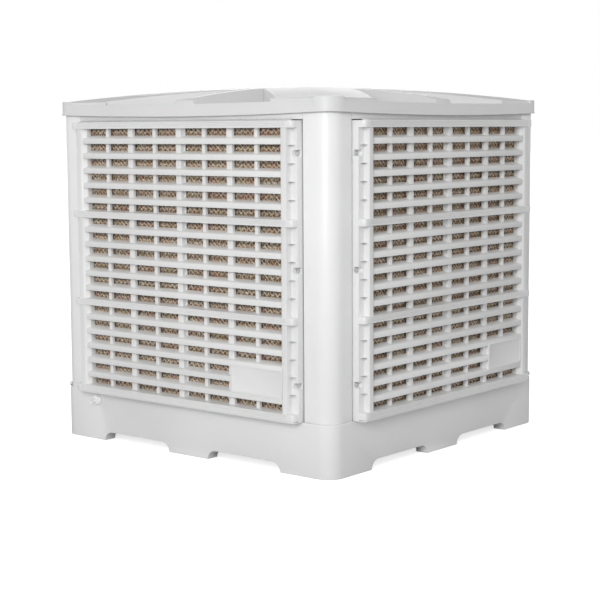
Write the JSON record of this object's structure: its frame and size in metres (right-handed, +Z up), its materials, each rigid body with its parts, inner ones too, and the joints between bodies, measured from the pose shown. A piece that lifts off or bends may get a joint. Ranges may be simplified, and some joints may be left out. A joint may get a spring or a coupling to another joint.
{
  "type": "evaporative cooler",
  "caption": "Square down-discharge evaporative cooler: moulded water tank, corner posts, louvred panels over wet pads, vaulted cover and a central axial fan.",
  "frame": {"origin": "on the floor, under the middle of the square tank", "axes": "+Z up along the fan's axis, -Y out of the front panel (the one with the water inlet below it), +X out of the right panel"},
  "size_m": [1.18, 1.18, 1.109],
  "materials": {
    "tank_plastic": "satin",
    "post_plastic": "satin",
    "panel_plastic": "satin",
    "cover_plastic": "satin",
    "trough_plastic": "satin",
    "tray_plastic": "matte",
    "pad_paper": "matte",
    "zinc_steel": "satin",
    "bright_steel": "polished",
    "black_rubber": "matte",
    "pipe_plastic": "satin",
    "hose_plastic": "matte",
    "motor_paint": "satin",
    "dark_plastic": "satin",
    "black_plastic": "matte",
    "pump_paint": "satin",
    "white_plastic": "gloss",
    "brass": "satin"
  },
  "bodies": {
    "housing": {"tank": "tank_plastic", "outlet_duct": "zinc_steel", "duct_gasket": "black_rubber", "duct_screws": "bright_steel", "post_front_right": "post_plastic", "post_rear_right": "post_plastic", "post_rear_left": "post_plastic", "post_front_left": "post_plastic", "post_screws": "bright_steel", "trough_front": "trough_plastic", "trough_right": "trough_plastic", "trough_rear": "trough_plastic", "trough_left": "trough_plastic", "header_pipes": "pipe_plastic", "header_elbows": "pipe_plastic", "riser_pipe": "hose_plastic", "top_cover": "cover_plastic", "cover_screws": "bright_steel", "fan_shroud": "zinc_steel", "shroud_screws": "bright_steel", "beam_legs": "zinc_steel", "beam_bolts": "bright_steel", "motor_beams": "zinc_steel", "motor_body": "motor_paint", "motor_screws": "bright_steel", "terminal_box": "dark_plastic", "cable_gland": "black_plastic", "seam_screws": "bright_steel", "pump_strainer": "dark_plastic", "pump_body": "pump_paint", "inlet_fitting": "white_plastic", "inlet_nut": "white_plastic", "float_valve": "white_plastic", "float_pin": "bright_steel", "drain_bush": "white_plastic", "drain_nut": "white_plastic"},
    "fan": {"motor_shaft": "bright_steel", "fan_hub": "dark_plastic", "fan_blades": "dark_plastic", "fan_nut": "bright_steel"},
    "float": {"float_arm": "brass", "float_ball": "white_plastic"},
    "standpipe": {"overflow_standpipe": "white_plastic"},
    "front_panel": {"panel_front": "panel_plastic", "pad_front": "pad_paper", "pad_tray_front": "tray_plastic", "panel_screws_front": "bright_steel"},
    "right_panel": {"panel_right": "panel_plastic", "pad_right": "pad_paper", "pad_tray_right": "tray_plastic", "panel_screws_right": "bright_steel"},
    "rear_panel": {"panel_rear": "panel_plastic", "pad_rear": "pad_paper", "pad_tray_rear": "tray_plastic", "panel_screws_rear": "bright_steel"},
    "left_panel": {"panel_left": "panel_plastic", "pad_left": "pad_paper", "pad_tray_left": "tray_plastic", "panel_screws_left": "bright_steel"}
  },
  "joints": [
    {"name": "fan_spin", "type": "hinge", "parent": "housing", "child": "fan", "pos_m": [0, 0, 0.196], "axis": [0, 0, 1], "continuous": true},
    {"name": "float_arm_swing", "type": "hinge", "parent": "housing", "child": "float", "pos_m": [-0.364, -0.485, 0.111], "axis": [0, -1, 0], "range_deg": [0, 14]},
    {"name": "standpipe_lift", "type": "slide", "parent": "housing", "child": "standpipe", "axis": [0, 0, 1], "range_m": [0, 0.06]},
    {"name": "front_panel_off", "type": "slide", "parent": "housing", "child": "front_panel", "axis": [0, -1, 0], "range_m": [0, 0.16]},
    {"name": "right_panel_off", "type": "slide", "parent": "housing", "child": "right_panel", "axis": [1, 0, 0], "range_m": [0, 0.16]},
    {"name": "rear_panel_off", "type": "slide", "parent": "housing", "child": "rear_panel", "axis": [0, 1, 0], "range_m": [0, 0.16]},
    {"name": "left_panel_off", "type": "slide", "parent": "housing", "child": "left_panel", "axis": [-1, 0, 0], "range_m": [0, 0.16]}
  ]
}
